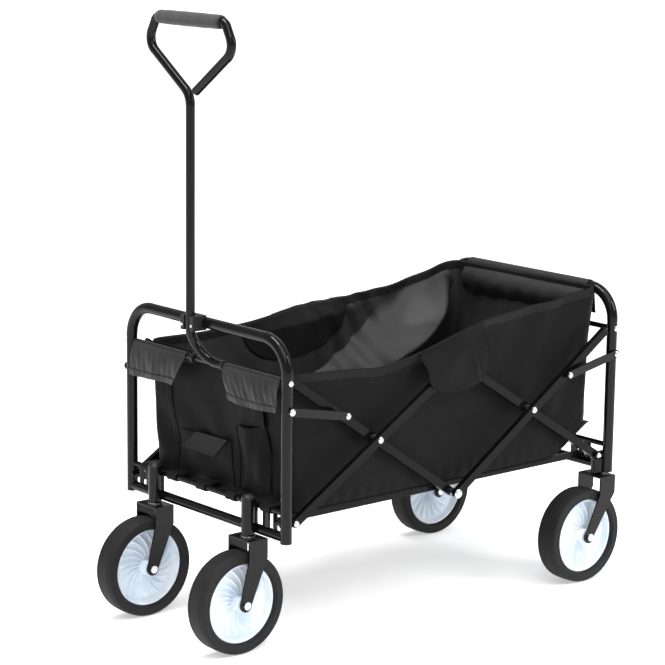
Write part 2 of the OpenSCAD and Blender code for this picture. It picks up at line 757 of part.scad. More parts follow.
front_axle_x = front_stem_x - front_trail;
rear_axle_x = rear_stem_x - rear_trail;
module near_front_rim() rim(front_axle_x, -front_track / 2);
module near_front_tyre() tyre(front_axle_x, -front_track / 2);
module far_front_rim() rim(front_axle_x, front_track / 2);
module far_front_tyre() tyre(front_axle_x, front_track / 2);
module near_rear_rim() rim(rear_axle_x, -rear_track / 2);
module near_rear_tyre() tyre(rear_axle_x, -rear_track / 2);
module far_rear_rim() rim(rear_axle_x, rear_track / 2);
module far_rear_tyre() tyre(rear_axle_x, rear_track / 2);

front_frame();
front_rod();
front_rod_screws();
caster_caps();
caster_washers();
handle_clip();
clip_screws();
rod_collars();
front_pivot_bolts();
front_link_bolts();
tub();
front_flaps();
front_outer_bars();
front_outer_plugs();
front_cross_bolts();
front_inner_bars();
front_inner_plugs();
front_link_spacers();
rear_outer_bars();
rear_outer_plugs();
mid_pivot_bolts();
rear_cross_bolts();
rear_inner_bars();
rear_inner_plugs();
rear_frame();
rear_rod();
rear_rod_screws();
rear_pivot_bolts();
rear_link_bolts();
rear_cuff();
rear_forks();
rear_axles();
front_links();
front_link_rivets();
rear_links();
rear_link_rivets();
front_rails();
front_rail_pins();
front_floor_board();
rear_rails();
rear_rail_pins();
rear_floor_board();
rim_pockets();
handle_tube();
handle_grip();
handle_plug();
near_fork();
near_axle();
far_fork();
far_axle();
near_front_rim();
near_front_tyre();
far_front_rim();
far_front_tyre();
near_rear_rim();
near_rear_tyre();
far_rear_rim();
far_rear_tyre();
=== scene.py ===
"""Folding camp wagon: the looks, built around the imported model."""

import math

import bpy
import numpy as np
from mathutils import Matrix, Vector


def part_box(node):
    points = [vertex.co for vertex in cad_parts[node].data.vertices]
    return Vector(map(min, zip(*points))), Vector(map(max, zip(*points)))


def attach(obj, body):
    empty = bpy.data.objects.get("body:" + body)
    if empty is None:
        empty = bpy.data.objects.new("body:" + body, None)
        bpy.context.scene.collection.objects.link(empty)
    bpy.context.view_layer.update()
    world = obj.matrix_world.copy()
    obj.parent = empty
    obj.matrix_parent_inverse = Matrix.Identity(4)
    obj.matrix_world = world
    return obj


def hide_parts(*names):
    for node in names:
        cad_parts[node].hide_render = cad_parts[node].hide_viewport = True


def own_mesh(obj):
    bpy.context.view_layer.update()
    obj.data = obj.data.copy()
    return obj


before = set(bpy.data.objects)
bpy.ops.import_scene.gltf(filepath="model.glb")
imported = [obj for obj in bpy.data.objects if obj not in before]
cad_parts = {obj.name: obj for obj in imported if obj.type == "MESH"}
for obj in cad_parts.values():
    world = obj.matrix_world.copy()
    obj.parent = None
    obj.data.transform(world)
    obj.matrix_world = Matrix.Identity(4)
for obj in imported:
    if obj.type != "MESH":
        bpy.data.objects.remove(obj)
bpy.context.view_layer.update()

# --- Camera ------------------------------------------------------------------
# A long lens a little above hoop height, looking at the handle end's corner.
azimuth, elevation, roll = math.radians(-40.5), math.radians(11.3), math.radians(0.7)
aim = Vector((-0.0587, 0, 0.5009))
distance = 4.2467
back = Vector((
    math.sin(azimuth) * math.cos(elevation),
    -math.cos(azimuth) * math.cos(elevation),
    math.sin(elevation),
))
level = Vector((math.cos(azimuth), math.sin(azimuth), 0))
upright = back.cross(level)
right = level * math.cos(roll) + upright * math.sin(roll)
up = upright * math.cos(roll) - level * math.sin(roll)
lens = bpy.data.cameras.new("camera")
lens.lens = 126.6
lens.sensor_width = 36
camera = bpy.data.objects.new("camera", lens)
facing = Matrix((right, up, back)).transposed().to_4x4()
camera.matrix_world = Matrix.Translation(aim + back * distance) @ facing
bpy.context.collection.objects.link(camera)
bpy.context.scene.camera = camera


# --- Studio ------------------------------------------------------------------
# A pale seamless floor, a white room, a broad sky light and three soft boxes, whose
# long reflections draw the bright lines along the lacquered tubes.
class Socket:
    """A shader value; arithmetic on it adds Math nodes."""

    def __init__(self, shader, link):
        self.shader, self.link = shader, link

    def math(self, operation, a, b=0.0):
        return self.shader.node("ShaderNodeMath", {"operation": operation}, [a, b])

    def __add__(self, other):
        return self.math("ADD", self, other)

    def __sub__(self, other):
        return self.math("SUBTRACT", self, other)

    def __rsub__(self, other):
        return self.math("SUBTRACT", other, self)

    def __mul__(self, other):
        return self.math("MULTIPLY", self, other)

    def __pow__(self, other):
        return self.math("POWER", self, other)

    def sin(self):
        return self.math("SINE", self)

    def abs(self):
        return self.math("ABSOLUTE", self)

    def clamp(self):
        return self.shader.node("ShaderNodeClamp", {}, [self])

    __radd__ = __add__
    __rmul__ = __mul__


class Shader:
    """A material with one Principled surface, built by expressions on sockets."""

    def __init__(self, name, **constants):
        self.material = bpy.data.materials.new(name)
        self.material.use_nodes = True
        self.tree = self.material.node_tree
        self.surface = self.tree.nodes["Principled BSDF"]
        for key, value in constants.items():
            self.surface.inputs[key.replace("_", " ")].default_value = value

    def node(self, kind, settings, values, output=0):
        """Adds a node: its settings first, then the values or links of its sockets."""
        made = self.tree.nodes.new(kind)
        for key, value in settings.items():
            if key == "stops":
                while len(made.color_ramp.elements) < len(value):
                    made.color_ramp.elements.new(0.5)
                for element, (place, colour) in zip(made.color_ramp.elements, value):
                    element.position, element.color = place, (*colour, 1)
            else:
                setattr(made, key, value)
        pairs = values.items() if isinstance(values, dict) else enumerate(values)
        for key, value in pairs:
            if isinstance(value, Socket):
                self.tree.links.new(value.link, made.inputs[key])
            else:
                made.inputs[key].default_value = value
        return Socket(self, made.outputs[output])

    def feed(self, name, value):
        self.tree.links.new(value.link, self.surface.inputs[name])

    def place(self, output="Object"):
        return self.node("ShaderNodeTexCoord", {}, {}, output)

    def split(self, vector):
        made = self.tree.nodes.new("ShaderNodeSeparateXYZ")
        self.tree.links.new(vector.link, made.inputs[0])
        return [Socket(self, s) for s in made.outputs]

    def noise(self, vector, scale, detail=3.0, rough=0.5, stretch=None):
        if stretch:
            vector = self.node("ShaderNodeVectorMath", {"operation": "MULTIPLY"}, [vector, stretch])
        return self.node("ShaderNodeTexNoise", {}, {"Vector": vector, "Scale": scale, "Detail": detail,
                                                    "Roughness": rough})

    def ramp(self, value, *stops):
        return self.node("ShaderNodeValToRGB", {"stops": stops}, [value])

    def bump(self, height, distance, strength=1.0, normal=None):
        values = {"Height": height, "Distance": distance, "Strength": strength}
        if normal:
            values["Normal"] = normal
        return self.node("ShaderNodeBump", {}, values)


bpy.context.scene.view_settings.view_transform = "Standard"
bpy.context.scene.view_settings.look = "None"
world = bpy.data.worlds.new("room")
world.use_nodes = True
world.node_tree.nodes["Background"].inputs["Color"].default_value = (1, 1, 1, 1)
world.node_tree.nodes["Background"].inputs["Strength"].default_value = 0.5
bpy.context.scene.world = world

floor_paint = Shader("floor_paint", Base_Color=(0.95, 0.95, 0.95, 1), Roughness=0.8, Specular_IOR_Level=0.1,
                     Emission_Color=(1, 1, 1, 1), Emission_Strength=0.45)
floor_data = bpy.data.meshes.new("studio_floor")
floor_half = 60.0
floor_corners = [(sx * floor_half, sy * floor_half, 0) for sx, sy in ((-1, -1), (1, -1), (1, 1), (-1, 1))]
floor_data.from_pydata(floor_corners, [], [(0, 1, 2, 3)])
floor_data.materials.append(floor_paint.material)
studio_floor = bpy.data.objects.new("studio_floor", floor_data)
bpy.context.collection.objects.link(studio_floor)


def soft_box(name, place, target, size, power):
    """A rectangular area light at place, facing target."""
    data = bpy.data.lights.new(name, "AREA")
    data.shape = "RECTANGLE"
    data.size, data.size_y = size
    data.energy = power
    lamp = bpy.data.objects.new(name, data)
    lamp.matrix_world = Matrix.Translation(place) @ (
        (Vector(place) - Vector(target)).to_track_quat("Z", "Y").to_matrix().to_4x4())
    bpy.context.collection.objects.link(lamp)


soft_box("key_box", (1.7, -2.8, 2.3), (0, 0, 0.4), (0.9, 1.6), 62)
soft_box("side_box", (-2.4, -2.6, 2.9), (0, 0, 0.4), (0.25, 2.2), 14)
soft_box("top_box", (-0.7, 0.2, 3.3), (0.2, 0, 0.4), (1.6, 0.8), 74)
sky_data = bpy.data.lights.new("skylight", "SUN")
sky_data.angle = math.radians(50)
sky_data.energy = 1.6
skylight = bpy.data.objects.new("skylight", sky_data)
skylight.rotation_euler = (math.radians(24), math.radians(-12), 0)
bpy.context.collection.objects.link(skylight)


# --- Lacquered steel tubes ---------------------------------------------------
# The hoops, crossbars, rods, links, forks and the handle are bent steel tube and
# pressed plate, sprayed with a thick gloss black enamel that has a slight orange peel.
def enamel(name, roughness, scuffs, gloss):
    paint = Shader(name, Coat_Weight=gloss, Coat_Roughness=0.03, Specular_IOR_Level=gloss)
    where = paint.place()
    cloud = paint.noise(where, 38, 5, 0.62)
    dust = paint.noise(where, 9, 4, 0.6)
    scratch = paint.noise(where, 26, 4, 0.7, (18, 18, 1.5))
    worn = ((scratch - 0.63) * 9).clamp() * ((dust - 0.5) * 6).clamp() * scuffs
    shade = paint.ramp(cloud * 0.6 + dust * 0.4 + worn, (0.3, (0.0022, 0.0022, 0.0024)),
                       (0.62, (0.0040, 0.0040, 0.0043)), (1.0, (0.035, 0.035, 0.037)))
    paint.feed("Base Color", shade)
    paint.feed("Roughness", dust * 0.08 + cloud * 0.05 + worn * 0.25 + (roughness - 0.07))
    peel = paint.noise(where, 420, 2, 0.5)
    rounded = paint.node("ShaderNodeBevel", {"samples": 4}, {"Radius": 0.0011})
    paint.feed("Normal", paint.bump(peel * 0.7 + scratch * 0.3, 0.0001, 0.12, rounded))
    return paint.material


def dress(material, *names):
    """Gives CAD nodes their finished material."""
    for name in names:
        slots = bpy.data.objects[name].data.materials
        slots.clear()
        slots.append(material)


frame_enamel = enamel("frame_enamel", 0.15, 1.0, 0.14)
bar_enamel = enamel("bar_enamel", 0.2, 1.4, 0.07)
dress(frame_enamel, "front_frame", "rear_frame", "front_rod", "rear_rod", "front_links", "rear_links",
      "near_fork", "far_fork", "rear_forks", "handle_tube")
dress(bar_enamel, "front_outer_bars", "front_inner_bars", "rear_outer_bars", "rear_inner_bars", "front_rails",
      "rear_rails")


# --- Moulded plastic plugs and fasteners -------------------------------------
# Bar plugs, caster caps, the handle clip and spacers are black nylon with a fine
# spark-eroded texture; bolts, rivets, pins and washers are bright zinc-plated steel.
nylon = Shader("black_nylon", Specular_IOR_Level=0.28)
spot = nylon.place()
grain = nylon.noise(spot, 900, 2, 0.6)
patch = nylon.noise(spot, 30, 3, 0.5)
nylon.feed("Base Color", nylon.ramp(patch, (0.3, (0.007, 0.007, 0.0075)), (0.75, (0.016, 0.016, 0.017))))
nylon.feed("Roughness", patch * 0.18 + 0.38)
nylon.feed("Normal", nylon.bump(grain, 0.00012, 0.5))
dress(nylon.material, "caster_caps", "handle_clip", "rod_collars", "front_outer_plugs", "front_inner_plugs",
      "rear_outer_plugs", "rear_inner_plugs", "handle_plug", "front_link_spacers")

zinc = Shader("bright_zinc", Metallic=1.0)
spot = zinc.place()
stain = zinc.noise(spot, 120, 4, 0.6)
lathe_marks = zinc.noise(spot, 60, 3, 0.7, (30, 1, 30))
zinc.feed("Base Color", zinc.ramp(stain, (0.3, (0.52, 0.53, 0.55)), (0.7, (0.86, 0.87, 0.88))))
zinc.feed("Roughness", stain * 0.22 + 0.16)
zinc.feed("Normal", zinc.bump(lathe_marks, 0.0001, 0.4,
                              zinc.node("ShaderNodeBevel", {"samples": 4}, {"Radius": 0.0007})))
dress(zinc.material, "front_rod_screws", "caster_washers", "clip_screws", "front_pivot_bolts",
      "front_link_bolts", "front_cross_bolts", "mid_pivot_bolts", "rear_cross_bolts", "rear_rod_screws",
      "rear_pivot_bolts", "rear_link_bolts", "rear_axles", "front_link_rivets", "rear_link_rivets",
      "front_rail_pins", "rear_rail_pins", "near_axle", "far_axle")


# --- Tyres -------------------------------------------------------------------
# Solid moulded tyres: a rounded tread with two shallow grooves, a raised bead ring
# on each wall and a parting line round the middle of the tread.
def grid_mesh(name, points, wrap_u=False, wrap_v=False, flip=False, uv=None, materials=(), smooth=True):
    """A mesh of quads over a grid of points (rows by columns by 3), closed along a wrapped way."""
    rows, columns = points.shape[:2]
    i, j = np.meshgrid(np.arange(rows - (not wrap_u)), np.arange(columns - (not wrap_v)), indexing="ij")
    i, j = i.ravel(), j.ravel()
    corners_i = np.stack([i, i + 1, i + 1, i], 1)
    corners_j = np.stack([j, j, j + 1, j + 1], 1)
    if flip:
        corners_i, corners_j = corners_i[:, ::-1], corners_j[:, ::-1]
    loops = (corners_i % rows) * columns + corners_j % columns
    mesh = bpy.data.meshes.new(name)
    mesh.from_pydata(points.reshape(-1, 3), [], loops)
    if uv is not None:
        layer = mesh.uv_layers.new(name="cloth")
        layer.data.foreach_set("uv", uv[corners_i, corners_j].astype(np.float32).ravel())
    mesh.polygons.foreach_set("use_smooth", np.full(len(loops), smooth))
    for material in materials:
        mesh.materials.append(material)
    piece = bpy.data.objects.new(name, mesh)
    bpy.context.collection.objects.link(piece)
    return piece


def around_axle(profile, turns, centre, name, **options):
    """Turns a profile of (radius, offset along Y) rows round the axle through centre."""
    angle = np.linspace(0, 2 * math.pi, turns, endpoint=False)[:, None]
    radius, along = profile[:, 0], profile[:, 1]
    points = np.stack([
        centre[0] + radius * np.cos(angle),
        np.broadcast_to(centre[1] + along, (turns, len(radius))),
        centre[2] + radius * np.sin(angle),
    ], -1)
    return grid_mesh(name, points, wrap_u=True, wrap_v=True, **options)


rubber = Shader("tyre_rubber", Specular_IOR_Level=0.16)
spot = rubber.place()
fine = rubber.noise(spot, 1400, 2, 0.6)
bloom = rubber.noise(spot, 14, 5, 0.6)
rubber.feed("Base Color", rubber.ramp(bloom, (0.3, (0.010, 0.010, 0.0105)), (0.7, (0.019, 0.019, 0.020))))
rubber.feed("Roughness", bloom * 0.22 + 0.50)
rubber.feed("Normal", rubber.bump(fine * 0.6 + bloom, 0.0004, 0.35))

wheels = {
    "near_front": "near_front_wheel", "far_front": "far_front_wheel",
    "near_rear": "near_rear_wheel", "far_rear": "far_rear_wheel",
}


def rounded_ring(inner, outer, half, power, count):
    """A superellipse section between two radii: the corner power sets how square it is."""
    t = np.linspace(0, 2 * math.pi, count, endpoint=False)
    blunt = lambda a: np.sign(a) * np.abs(a) ** (2 / power)
    middle, reach = (inner + outer) / 2, (outer - inner) / 2
    return np.stack([middle + reach * blunt(np.cos(t)), half * blunt(np.sin(t))], 1)


for corner, body in wheels.items():
    low, high = (np.array(c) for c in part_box(f"{corner}_tyre"))
    centre, radius, half = (low + high) / 2, (high[2] - low[2]) / 2, (high[1] - low[1]) / 2
    seat = (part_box(f"{corner}_rim")[1][2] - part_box(f"{corner}_rim")[0][2]) / 2
    ring = rounded_ring(seat + 0.0002, radius, half, 5.0, 160)
    r, y = ring[:, 0], ring[:, 1]
    on_tread = r > radius - 0.006
    groove = np.exp(-(((np.abs(y) - half * 0.62) / 0.0011) ** 2)) * on_tread
    parting = np.exp(-((y / 0.0006) ** 2)) * on_tread
    ring[:, 0] += parting * 0.0003 - groove * 0.0012 - 0.0003
    on_wall = np.abs(y) > half * 0.9
    bead = np.exp(-(((r - seat - 0.005) / 0.0016) ** 2)) * on_wall
    step = np.exp(-(((r - radius + 0.0095) / 0.0010) ** 2)) * on_wall
    ring[:, 1] += np.sign(y) * (bead * 0.0009 - step * 0.0009)
    tyre = around_axle(ring, 160, centre, f"{corner}_tyre_moulded", flip=True, materials=[rubber.material])
    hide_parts(f"{corner}_tyre")
    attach(tyre, body)


# --- Rims --------------------------------------------------------------------
# Milky blue-white polypropylene, moulded in one: a dished web with twenty swept
# blades between the hub barrel and the deep outer ring, the same from both sides.
milk = Shader("milky_polypropylene", Subsurface_Weight=0.25, Subsurface_Scale=0.01, Roughness=0.34,
              Specular_IOR_Level=0.5)
milk.surface.inputs["Subsurface Radius"].default_value = (0.6, 0.8, 1.0)
spot = milk.place()
flow = milk.noise(spot, 22, 3, 0.55)
milk.feed("Base Color", milk.ramp(flow, (0.32, (0.60, 0.69, 0.80)), (0.68, (0.80, 0.85, 0.90))))
milk.feed("Roughness", flow * 0.2 + 0.24)
milk.feed("Normal", milk.bump(milk.noise(spot, 300, 2, 0.5), 0.0002, 0.25))

blades = 20
for corner, body in wheels.items():
    low, high = (np.array(c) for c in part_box(f"{corner}_rim"))
    centre, seat, hub_half = (low + high) / 2, (high[2] - low[2]) / 2, (high[1] - low[1]) / 2
    bore, turns = 0.0046, blades * 18
    # Half section from the bore out to the seat, as radius and half width
    radius = np.concatenate([
        [bore, 0.0120, 0.0133], np.linspace(0.0142, seat - 0.0075, 26),
        [seat - 0.0060, seat - 0.0042, seat - 0.0035, seat - 0.0012, seat]])
    share = np.clip((radius - 0.0142) / (seat - 0.0217), 0, 1)
    web = 0.0025 + 0.0045 * np.cos(share * math.pi / 2)
    half = np.where(radius < 0.0138, hub_half, web)
    half[2] = hub_half - 0.0012
    half[-5:] = [0.004, 0.0105, 0.0150, 0.0162, 0.0150]
    angle = np.linspace(0, 2 * math.pi, turns, endpoint=False)[:, None]
    sweep = 0.55 * share
    crest = np.cos(blades * (angle - sweep)) * 0.5 + 0.5
    blade = crest ** 5 * np.sin(share * math.pi) ** 0.6 * 0.0065
    halves = half + blade
    shape = np.broadcast_to(radius, halves.shape)
    loop_r = np.concatenate([shape, shape[:, ::-1]], 1)
    loop_y = np.concatenate([halves, -halves[:, ::-1]], 1)
    points = np.stack([centre[0] + loop_r * np.cos(angle), centre[1] + loop_y,
                       centre[2] + loop_r * np.sin(angle)], -1)
    rim = grid_mesh(f"{corner}_rim_moulded", points, True, True, materials=[milk.material])
    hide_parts(f"{corner}_rim")
    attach(rim, body)


# --- Foam grip ---------------------------------------------------------------
# A closed-cell foam sleeve pushed over the handle's cross piece: skinned, slightly
# barrelled, with rounded ends and a faint ripple from the hand.
foam = Shader("black_foam", Specular_IOR_Level=0.3, Sheen_Weight=0.25, Sheen_Roughness=0.5)
spot = foam.place()
cells = foam.node("ShaderNodeTexVoronoi", {}, {"Vector": spot, "Scale": 1300.0})
soft = foam.noise(spot, 45, 4, 0.6)
foam.feed("Base Color", foam.ramp(soft, (0.3, (0.012, 0.012, 0.0125)), (0.75, (0.028, 0.028, 0.030))))
foam.feed("Roughness", soft * 0.2 + 0.58)
foam.feed("Normal", foam.bump(cells * 0.5 + soft, 0.0007, 0.4))

low, high = (np.array(c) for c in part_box("handle_grip"))
centre, radius, half = (low + high) / 2, (high[2] - low[2]) / 2, (high[1] - low[1]) / 2
along = np.linspace(-1, 1, 90)
barrel = 1 - 0.045 * along ** 2 + 0.012 * np.sin(along * 13)
round_ends = 1 - np.clip(np.abs(along) - 0.93, 0, 1) ** 2 * 22
outer = radius * barrel * round_ends
inner = 0.0081
mouths = [[inner, half * 0.995], [inner, -half * 0.995]]
profile = np.concatenate([np.stack([outer, along * half], 1), mouths])
grip = around_axle(profile, 72, centre, "foam_grip", materials=[foam.material])
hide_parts("handle_grip")
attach(grip, "handle")


# --- Fabric tub --------------------------------------------------------------
# A sewn bag of coated polyester: black plain weave outside, a slippery grey coating
# inside. It hangs by its rim between the hoops and rests on the floor rails.
def weave(name, colours, roughness, sheen, gloss, wrinkle):
    """Plain weave from the cloth's own UV in metres, with creases and rubbed patches; the colour is darkened
    along the crease valleys as painted shade.
    """
    cloth = Shader(name, Sheen_Weight=sheen, Sheen_Roughness=0.4, Specular_IOR_Level=gloss)
    uv = cloth.node("ShaderNodeUVMap", {"uv_map": "cloth"}, {})
    where = cloth.place()
    across, down, _ = cloth.split(uv)
    pitch = 2 * math.pi / 0.0011
    threads = ((across * pitch).sin() * (down * pitch).sin()) * 0.5 + 0.5
    slub = cloth.noise(uv, 260, 2, 0.6, (1, 9, 1))
    worn = cloth.noise(where, 7, 5, 0.62)
    crease = cloth.noise(where, 11, 2, 0.5)
    folds = (crease - 0.5).abs() * 2
    # Colour tone: random wear and slub, plus painted shade that darkens the cloth along the crease valleys of
    # the bump
    tone_and_crease_shade = worn * 0.55 + folds * 0.25 + slub * 0.2
    cloth.feed("Base Color", cloth.ramp(tone_and_crease_shade, (0.25, colours[0]), (0.5, colours[1]), (0.8, colours[2])))
    cloth.feed("Roughness", worn * 0.16 + threads * 0.05 + (roughness - 0.1))
    large = cloth.bump(folds ** 0.8 * 0.6 + worn, wrinkle, 0.5)
    cloth.feed("Normal", cloth.bump(threads * 0.7 + slub * 0.5, 0.00025, 0.5, large))
    return cloth.material


outside_cloth = weave(
    "black_polyester", [(0.0020, 0.0020, 0.0022), (0.0040, 0.0040, 0.0044), (0.0080, 0.0080, 0.0087)],
    roughness=0.6, sheen=0.01, gloss=0.11, wrinkle=0.0022)
lining_cloth = weave(
    "coated_lining", [(0.0100, 0.0100, 0.0103), (0.018, 0.018, 0.0185), (0.034, 0.034, 0.035)],
    roughness=0.42, sheen=0.03, gloss=0.32, wrinkle=0.0020)
tape_cloth = weave(
    "binding_tape", [(0.0030, 0.0030, 0.0033), (0.0055, 0.0055, 0.0060), (0.010, 0.010, 0.0107)],
    roughness=0.58, sheen=0.02, gloss=0.16, wrinkle=0.0004)
panel_cloth = weave(
    "flap_cloth", [(0.0075, 0.0075, 0.0078), (0.012, 0.012, 0.0125), (0.018, 0.018, 0.019)],
    roughness=0.62, sheen=0.02, gloss=0.14, wrinkle=0.0010)

smooth = lambda t: np.clip(t, 0, 1) ** 2 * (3 - 2 * np.clip(t, 0, 1))
blob = lambda a, width: np.exp(-((a / width) ** 2))

tub_low, tub_high = (np.array(c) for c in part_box("tub"))
x0, x1, wide = tub_low[0], tub_high[0], tub_high[1]
long = x1 - x0
rod_x = sum(np.array(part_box("front_rod"))[:, 0]) / 2
rod_z = sum(np.array(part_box("front_rod"))[:, 2]) / 2
hoop_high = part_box("rear_frame")[1]
hoop_x = rod_x + 0.790
hoop_z = hoop_high[2] - 0.010


def soft_curve(x, places, heights, ease=0.035):
    """Heights over places, joined by straight runs and rounded off by a running mean."""
    offsets = np.linspace(-ease, ease, 15)
    return np.mean([np.interp(x + o, places, heights) for o in offsets], 0)


def rim_height(x, y):
    """The top edge: low at the handle end, up over the middle joint, highest at the rear hoop."""
    share = (x - x0) / long
    near = soft_curve(share, [0, 0.15, 0.28, 0.37, 0.50, 0.58, 0.86, 1],
                      [0.489, 0.484, 0.476, 0.489, 0.525, 0.533, 0.549, 0.563])
    far = soft_curve(share, [0, 0.15, 0.30, 0.52, 0.82, 0.97, 1],
                     [0.490, 0.488, 0.494, 0.508, 0.530, 0.556, 0.563])
    return np.where(y < 0, near, far) - 0.004 * blob(y, 0.10) * (share < 0.02)


def foot_height(x):
    """The bottom edge: level on the rails, then rising towards the rear wall."""
    share = (x - x0) / long
    return tub_low[2] + 0.002 + soft_curve(share, [0, 0.865, 1], [0, 0, 0.060], 0.015)


def plan_loop(count, corner=0.022):
    """Points round the plan, a rectangle with round corners, with outward ways and arc length."""
    a, b = long / 2 - corner, wide - corner
    legs = [2 * a, 2 * b, 2 * a, 2 * b]
    arc = corner * math.pi / 2
    total = sum(legs) + 4 * arc
    s = np.linspace(0, total, count, endpoint=False)
    x, y, nx, ny = (np.zeros(count) for _ in range(4))
    start = 0.0
    # Near side runs to the rear, then the rear wall, the far side back, and the front wall
    turns = [-90, 0, 90, 180]
    centres = [(a, -b), (a, b), (-a, b), (-a, -b)]
    for k in range(4):
        way = math.radians(turns[k])
        out, run = np.array([math.cos(way), math.sin(way)]), np.array([-math.sin(way), math.cos(way)])
        on = (s >= start) & (s < start + legs[k])
        t = s[on] - start - legs[k]
        x[on] = centres[k][0] + corner * out[0] + run[0] * t
        y[on] = centres[k][1] + corner * out[1] + run[1] * t
        nx[on], ny[on] = out
        start += legs[k]
        on = (s >= start) & (s < start + arc)
        turn = way + (s[on] - start) / corner
        x[on] = centres[k][0] + corner * np.cos(turn)
        y[on] = centres[k][1] + corner * np.sin(turn)
        nx[on], ny[on] = np.cos(turn), np.sin(turn)
        start += arc
    return x + (x0 + x1) / 2, y, nx, ny, s, total


joint_x = sum(np.array(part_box("mid_pivot_bolts"))[:, 0]) / 2
rim_bulge = 0.024
pleat_run, pleat_return, pleat_depth = 0.17, 0.035, 0.066


def tub_wall(x, y, nx, ny, v):
    """A point of the wall: up from the foot edge by share v, leaning out to the hoops, with slack folds."""
    top, foot = rim_height(x, y), foot_height(x)
    z = foot + (top - foot) * v
    share = (x - x0) / long
    lean = smooth((v - 0.15) / 0.85)
    at_front, at_rear = smooth((0.05 - share) / 0.05), smooth((share - 0.95) / 0.05)
    middle = blob(y, 0.075)
    x = x - lean * at_front * (0.012 - 0.008 * middle) + lean * at_rear * 0.014
    # Slack: broad billows between the seams, then diagonal drag lines from the corners
    side = np.abs(ny)
    billow = 0.004 * np.sin(share * 9 + 1.2 * np.sign(ny)) * np.sin(v * 3.0) - 0.0035 * np.sin(v * math.pi)
    leading = np.sin((share * 34 + v * 7) * (1 + 0.05 * np.sign(ny)))
    drag = 0.0030 * leading * blob(v - 0.55, 0.35) * blob(share - 0.2, 0.18)
    drag += 0.0036 * np.sin(share * 41 - v * 9 + 1.0) * blob(share - 0.85, 0.14) * smooth(v * 2)
    ends = 1 - side
    broad = 0.0045 * np.sin(y * 26 + v * 6) * np.sin(v * math.pi)
    narrow = 0.0030 * np.sin(y * 61 - v * 11) * blob(v - 0.3, 0.3)
    buckle = ends * (broad + narrow)
    push = billow * side + drag * side + buckle
    # The spare cloth of the far rear corner stands inwards in one deep pleat
    ridge = 0.985 - 0.82 * (1 - v) ** 1.8
    ahead = (share - ridge) * long
    sheet_side, shade_side = 1 + ahead / pleat_run, 1 - ahead / pleat_return
    pleat = np.clip(np.minimum(sheet_side, shade_side), 0, 1) * (y > 0) * side
    fade = smooth((0.955 - v) * 4.0) * smooth(v * 1.6) * smooth((1.0 - share) * 26)
    push = push - pleat_depth * pleat * fade
    # Folds fan out from the rim above the bars' joint on the far side
    push = push + 0.0035 * np.sin((share - 0.4) * 62 * (0.6 + v)) * blob(share - 0.60, 0.12) * (y > 0) * side
    # Above the bars' top ends the rim stands out to carry the rim pockets
    push = push + rim_bulge * blob(x - joint_x, 0.085) * smooth((v - 0.89) / 0.11) * side
    # The foot edge is puckered where it is sewn to the floor
    push = push + 0.0010 * np.sin(share * 150 + y * 90) * blob(v - 0.06, 0.05) - 0.0012 * blob(v, 0.03)
    return np.stack([x + nx * push, y + ny * push, z], -1)


girth_points = 760
plan = plan_loop(girth_points)
levels = np.linspace(0, 1, 96) ** 0.92
px, py, nx, ny, arc, girth = (a[None, :] if isinstance(a, np.ndarray) else a for a in plan)
v = levels[:, None]
walls = tub_wall(*np.broadcast_arrays(px, py, nx, ny), np.broadcast_to(v, (len(levels), px.shape[1])))
wall_rise = 0.27
uv_v = np.broadcast_to(v * wall_rise, (len(levels), girth_points + 1))
uv_u = np.broadcast_to(np.append(arc[0], girth)[None, :], (len(levels), girth_points + 1))


def give_thickness(piece, thickness, lined=True):
    """Turns a single layer into cloth, whose inner face takes the second material if it is lined."""
    wall = piece.modifiers.new("cloth", "SOLIDIFY")
    wall.thickness = thickness
    wall.offset = -1
    wall.use_even_offset = False
    wall.material_offset = 1 if lined else 0
    wall.material_offset_rim = 0


tub = grid_mesh("tub_walls", walls, wrap_v=True, flip=True, uv=np.stack([uv_u, uv_v], -1),
                materials=[outside_cloth, lining_cloth])
give_thickness(tub, 0.0018)
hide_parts("tub")
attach(tub, "front_frame")


# The floor: one rectangle, sagging a little between the rails
gx, gy = np.meshgrid(np.linspace(0, 1, 120), np.linspace(-1, 1, 70), indexing="ij")
fx = x0 - 0.0005 + (long + 0.001) * gx
fz = foot_height(fx) - 0.0004 - 0.0006 * np.cos(gy * math.pi / 2) * np.sin(gx * 30)
base = grid_mesh("tub_floor", np.stack([fx, gy * (wide + 0.0002), fz], -1),
                 uv=np.stack([gx * long, gy * wide], -1), materials=[outside_cloth, lining_cloth], flip=True)
give_thickness(base, -0.0018)
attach(base, "front_frame")


# Stitched binding tape folded over the rim, all the way round
def rim_tape(name, drop, stand, count=girth_points):
    """A flat U of tape over the wall's top edge, running round the plan."""
    x, y, nx, ny, s, total = plan_loop(count)
    top = rim_height(x, y)
    foot = foot_height(x)
    t = np.linspace(-1, 1, 23)
    sharp = np.sign(t) * np.abs(t) ** 0.8
    depth = drop * np.abs(sharp)
    v = 1 - depth[:, None] / (top - foot)[None, :]
    side = stand * np.tanh(sharp * 9)
    spots = tub_wall(*np.broadcast_arrays(x[None], y[None], nx[None], ny[None], v))
    ripple = 1 + 0.25 * np.sin(s * 260)[None, :] * blob(np.abs(sharp) - 1, 0.3)[:, None]
    push = (side[:, None] * ripple) - 0.0009
    spots[..., 0] += nx * push
    spots[..., 1] += ny * push
    spots[..., 2] += 0.0012 * blob(sharp, 0.25)[:, None]
    uv = np.stack(np.broadcast_arrays(np.append(s, total)[None, :], (sharp * drop)[:, None]), -1)
    return grid_mesh(name, spots, wrap_v=True, uv=uv, materials=[tape_cloth])


binding = rim_tape("rim_binding", 0.015, 0.0017)
give_thickness(binding, 0.0006, False)
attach(binding, "front_frame")



